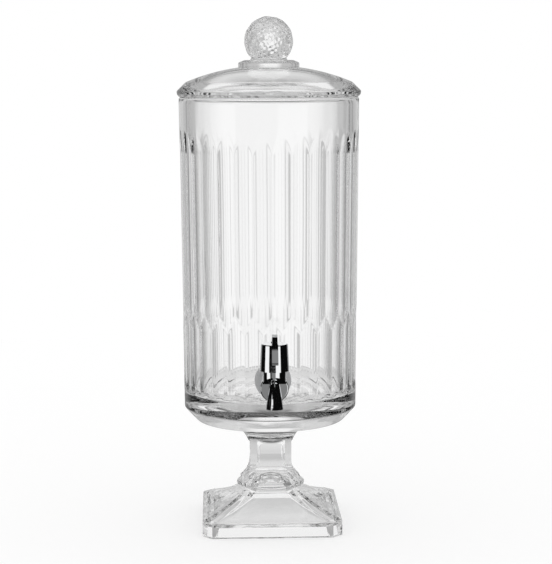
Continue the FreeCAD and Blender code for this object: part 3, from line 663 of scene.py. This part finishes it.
def add_jar():
    """The jar in one skin: underside, fluted wall, rim, inside, and the hole for the tap."""
    half = math.pi / flute_count
    angles, per_flute = jar_columns()
    cell = jar_outer(tap_z) * half
    heights = jar_levels(cell)
    lip, corner = jar_rim_round, 1 - math.sqrt(0.5)
    wall_foot = heights[0]
    outside = eased([(collar_r, pedestal_height), (jar_foot_r - bevel_width, pedestal_height),
                     (jar_foot_r, bevel_z), (jar_outer(wall_foot), wall_foot)],
                    bevel_round * math.tan(math.pi / 8))
    rows = [[(0.0, 0.0, pedestal_height)]]
    circle = np.stack([np.sin(angles), -np.cos(angles)], -1)

    def ring(r, z):
        return np.column_stack([circle * r, np.full(len(angles), z)])

    rows += [ring(r, z) for r, z in divided(outside, longest_span)]
    first_wall = len(rows)
    turn = (angles + math.pi) % (2 * math.pi) - math.pi

    def around_hole(z):
        """The angles and heights of a ring, drawn aside round the tap's hole."""
        u, v = turn / half, (z - tap_z) / cell
        c = np.maximum(np.abs(u), abs(v))
        e = np.maximum(np.hypot(u, v), 1e-9)
        hole = glass_hole_r / cell
        blend = np.clip(c - 1, 0, 1)
        scale = (1 - blend) * hole * c / e + blend
        return u * scale * half, tap_z + v * scale * cell

    def wall_ring(z, radius):
        shifted, level = around_hole(z)
        rs = radius(shifted, level)
        return np.column_stack([np.sin(shifted) * rs, -np.cos(shifted) * rs, level])

    def inner_radius(at, level):
        return jar_outer(level) - jar_wall

    rows += [wall_ring(z, fluted) for z in heights[1:]]
    rim_out, rim_in = jar_outer(jar_rim_z - lip), jar_outer(jar_rim_z - lip) - jar_wall
    rim = arc((rim_out, jar_rim_z - lip), (rim_out - lip * corner, jar_rim_z - lip * corner),
              (rim_out - lip, jar_rim_z), 5)
    rim += [(rim_in + lip + rim_flat, jar_rim_z), (rim_in + lip, jar_rim_z)]
    rim += arc((rim_in + lip, jar_rim_z), (rim_in + lip * corner, jar_rim_z - lip * corner),
               (rim_in, jar_rim_z - lip), 5)
    rows += [ring(r, z) for r, z in rim[:-1]]
    down = [z for z in heights[::-1] if z > jar_floor_z + jar_floor_round + bowl_clear]
    inner_first = len(rows)
    rows += [wall_ring(z, inner_radius) for z in down]
    floor_r = jar_outer(jar_floor_z + jar_floor_round) - jar_wall
    bowl = [(floor_r, jar_floor_z + jar_floor_round)]
    bowl += arc(bowl[0], (floor_r - jar_floor_round * corner, jar_floor_z + jar_floor_round * corner),
                (floor_r - jar_floor_round, jar_floor_z), 8)
    bowl += [(r, jar_floor_z) for r in jar_floor_rings]
    rows += [ring(r, z) for r, z in bowl]
    rows.append([(0.0, 0.0, jar_floor_z)])
    count = len(angles)
    hole_columns = [i % count for i in range(-(per_flute // 2), per_flute // 2 + 1)]
    hole_z = [z for z in heights if tap_z - cell - 1e-6 <= z <= tap_z + cell + 1e-6]
    outer_rows = [first_wall - 1 + heights.index(z) for z in hole_z]
    inner_rows = [inner_first + down.index(z) for z in hole_z]
    inside = {(row, column) for row in outer_rows[:-1] + inner_rows[1:] for column in hole_columns[:-1]}

    def loop(levels):
        """The points round the hole in order, for the rows that cross it."""
        low, high = levels[0], levels[-1]
        path = [(low, c) for c in hole_columns]
        path += [(r, hole_columns[-1]) for r in levels[1:]]
        path += [(high, c) for c in hole_columns[-2::-1]]
        path += [(r, hole_columns[0]) for r in levels[-2:0:-1]]
        return path

    skin("jar_glass", rows, "jar", "vessel", pressed_glass, bonded=(0,),
         dropped=lambda row, column: (row, column) in inside, bridges=[(loop(outer_rows), loop(inner_rows))])


# Pedestal


def octagon(half, chamfer, inset=0.0, panel=0.0, columns=(4, 8), corner_columns=5):
    """A cut-cornered square as points round it. inset is the depth of a panel whose half width is panel."""
    near = half - chamfer
    if panel:
        wide = min(panel + panel_wall, near - panel_margin)
        thin = wide - panel_wall
    else:
        wide = near / 2
        thin = wide - plain_seam
    xs = list(np.linspace(-near, -wide, columns[0] + 1)) + list(np.linspace(-thin, thin, columns[1] + 1))
    xs += list(np.linspace(wide, near, columns[0] + 1))
    side = [(x, (inset if abs(x) <= thin + 1e-9 else 0.0) - half) for x in xs]
    side += [(near + chamfer * i / corner_columns, -(half - chamfer * i / corner_columns))
             for i in range(1, corner_columns)]
    out = []
    for turn in range(4):
        c, s = math.cos(turn * math.pi / 2), math.sin(turn * math.pi / 2)
        out += [(x * c - y * s, x * s + y * c) for x, y in side]
    return np.array(out)


def add_pedestal():
    """The pedestal in one skin: collar, panelled stem, knee, flared foot, and the hollow under it."""
    half, chamfer, panel = ring_pattern
    pattern = octagon(half, chamfer, panel=panel)
    pattern /= np.linalg.norm(pattern, axis=1)[:, None]

    def flat(outline, z):
        return np.column_stack([outline, np.full(len(outline), z)])

    def round_row(r, z):
        return flat(pattern * r, z)

    def sweep_row(points, z, low_chamfer, high_chamfer):
        low, high = points[0][0], points[-1][0]
        share = (z - low) / (high - low)
        return flat(octagon(spline_at(points, z), low_chamfer + share * (high_chamfer - low_chamfer)), z)

    def panel_half_at(z):
        if z <= panel_top_z - panel_round:
            return spline_at(panel_edge, z)
        rise = z - (panel_top_z - panel_round)
        return panel_edge[-1][1] - (panel_round - math.sqrt(max(panel_round ** 2 - rise ** 2, 0.0)))

    collar = arc((stem_half, collar_foot_z), collar_waist, (collar_r, collar_lip_z), 24)
    collar_points = [(z, r) for r, z in [(stem_half, collar_foot_z)] + collar]

    def collar_at(z):
        if z <= collar_foot_z:
            return 0.0
        return float(np.interp(z, [p[0] for p in collar_points], [p[1] for p in collar_points]))

    def stem_row(z, recessed):
        if z < stem_sweep[-1][0]:
            half = spline_at(stem_sweep, z)
            share = (z - stem_sweep[0][0]) / (stem_sweep[-1][0] - stem_sweep[0][0])
            chamfer = stem_foot_chamfer + share * (stem_chamfer - stem_foot_chamfer)
        else:
            half, chamfer = stem_half, stem_chamfer
        panel = panel_half_at(min(z, panel_top_z - 2 * hair))
        outline = octagon(half, chamfer, panel=panel)
        dug = octagon(half, chamfer, inset=panel_depth, panel=panel)
        reach = np.linalg.norm(outline, axis=1)
        wanted = reach
        if z > collar_foot_z - collar_blend:
            wanted = np.logaddexp(reach / collar_soft, collar_at(z) / collar_soft) * collar_soft
        grown = outline * (wanted / reach)[:, None]
        if recessed:
            low = np.linalg.norm(dug - outline, axis=1) > 1e-6
            grown[low] = dug[low]
        return flat(grown, z)

    rise, drop = collar_lip_gap
    rows = [[(0.0, 0.0, pedestal_height)], round_row(collar_r, pedestal_height),
            round_row(collar_r, collar_lip_z + rise)]
    rows += [stem_row(z, False) for z in np.linspace(collar_lip_z - drop, panel_top_z, collar_rows)]
    dug = list(np.linspace(panel_top_z - hair, panel_top_z - panel_round, panel_head_rows))
    dug += list(np.linspace(panel_top_z - panel_round, knee_top_z, panel_rows)[1:])
    rows += [stem_row(z, True) for z in dug]
    disc = [(knee_r - knee_round, knee_top_z)]
    cut = knee_round * (1 - math.sqrt(0.5))
    disc += arc(disc[0], (knee_r - cut, knee_top_z - cut), (knee_r, knee_top_z - knee_round), 4)
    disc += [(knee_r, knee_foot_z + knee_round)]
    disc += arc(disc[-1], (knee_r - cut, knee_foot_z + cut), (knee_r - knee_round, knee_foot_z), 4)
    rows += [round_row(r, z) for r, z in disc]
    flare_foot_z = flare_sweep[0][0]
    for z in np.linspace(knee_foot_z, flare_foot_z, flare_rows):
        rows.append(sweep_row(flare_sweep, z, plinth_chamfer, flare_top_chamfer))
    edge = plinth_edge_round
    for i in range(edge_rows):
        a = math.radians(90 * (1 - i / (edge_rows - 1)))
        rows.append(flat(octagon(plinth_half - edge + edge * math.cos(a), plinth_chamfer),
                         flare_foot_z - edge + edge * math.sin(a)))
    rows.append(flat(octagon(plinth_half, plinth_chamfer), foot_edge))
    rows.append(flat(octagon(plinth_half - foot_edge, plinth_chamfer), 0.0))
    rows += [flat(octagon(hollow_rim_half + out, hollow_chamfer), z) for out, z in hollow_edge]
    top_z, top_half = hollow_sweep[-1]
    for z in np.linspace(hollow_sweep[0][0], top_z, hollow_rows):
        rows.append(sweep_row(hollow_sweep, z, hollow_chamfer, hollow_chamfer))
    bow = (top_half * hollow_dome_bow[0], top_z + hollow_dome_rise * hollow_dome_bow[1])
    top = (0.0, top_z + hollow_dome_rise)
    rows += [round_row(r, z) for r, z in arc((top_half, top_z), bow, top, 10)[:-1]]
    rows.append([(0.0, *top)])
    skin("pedestal_glass", rows, "pedestal", "vessel", pressed_glass, bonded=(0,), sharp=28.0)


# Lid


def add_lid():
    """The lid in one skin. Returns the crown's line under the knob, and the foot of the knob's disc on it."""
    crown = arc((0.0, lid_crown_z), lid_crown_bow, lid_shoulder, 40)
    under = [p for p in crown if p[0] < knob_disc_r]
    join = next(p for p in crown if p[0] >= knob_disc_r)
    last = under[-1]
    share = (knob_disc_r - last[0]) / (join[0] - last[0])
    foot = (knob_disc_r, last[1] + share * (join[1] - last[1]))
    outer, inner, low = lid_ring
    z = jar_rim_z
    side_top, side_foot = lid_brim_side
    brim = eased([crown[-3], crown[-1], (lid_brim_r, z + side_top),
                  (lid_brim_r - lid_brim_draft, z + side_foot), (lid_brim_r - lid_brim_under, z), (outer, z),
                  (outer - lid_ring_draft, low), (inner + lid_ring_draft, low), (inner, z),
                  arc((inner, z), lid_inside_bow, (0.0, lid_inside_z), 12)[0]], lid_edge_round)
    inside = arc((inner, z), lid_inside_bow, (0.0, lid_inside_z), 36)
    profile = [(0.0, lid_crown_z)] + under + [foot] + [p for p in crown if p[0] > knob_disc_r][:-3]
    profile += divided(brim, lid_longest_span) + inside[3:-1] + [(0.0, lid_inside_z)]
    skin("lid_glass", turned(profile), "lid_dome", "lid", turned_glass, bonded=range(len(under) + 1))
    return under, foot


def add_knob(under, foot):
    """The disc and the ball in one skin; the ball's dimples are spheres cut out along an even spiral."""
    disc = eased([foot, (knob_disc_r, knob_disc_z - knob_disc_slope), (knob_disc_top_r, knob_disc_z),
                  (knob_neck_r, knob_disc_z), knob_ball_foot], knob_disc_round)
    golden = math.pi * (3 - math.sqrt(5))
    ways = []
    for i in range(dimple_count):
        height = 1 - (i + 0.5) * 2 / dimple_count
        if height * knob_ball_r >= -knob_ball_r + dimple_neck_clear:
            across = math.sqrt(1 - height ** 2)
            ways.append((across * math.cos(i * golden), across * math.sin(i * golden), height))
    ways = np.array(ways)
    reach = knob_ball_r + dimple_r - dimple_depth
    rows = [[(0.0, 0.0, lid_crown_z)]] + turned(under + divided(disc, knob_longest_span), knob_columns)
    start = math.asin((knob_ball_foot[1] - knob_ball_z) / knob_ball_r)
    angles = np.arange(knob_columns) * 2 * math.pi / knob_columns
    for i in range(1, knob_rows):
        lift = start + (math.pi / 2 - start) * i / knob_rows
        way = np.stack([math.cos(lift) * np.cos(angles), math.cos(lift) * np.sin(angles),
                        np.full(knob_columns, math.sin(lift))], -1)
        along = way @ ways.T * reach
        room = dimple_r ** 2 - (reach ** 2 - along ** 2)
        cut = np.where((room > 0) & (along > 0), along - np.sqrt(np.maximum(room, 0)), knob_ball_r).min(1)
        rows.append(way * np.minimum(knob_ball_r, cut)[:, None] + (0, 0, knob_ball_z))
    rows.append([(0.0, 0.0, knob_ball_z + knob_ball_r - knob_top_dip)])
    skin("knob_glass", rows, "lid_knob", "lid", turned_glass, bonded=range(len(under) + 1), sharp=60.0)


add_jar()
add_pedestal()
add_knob(*add_lid())
add_camera()
add_world()
add_floor()
scene.view_settings.view_transform = "Standard"
scene.cycles.max_bounces = 32
scene.cycles.transmission_bounces = 32
scene.cycles.glossy_bounces = 16
scene.cycles.transparent_max_bounces = 32
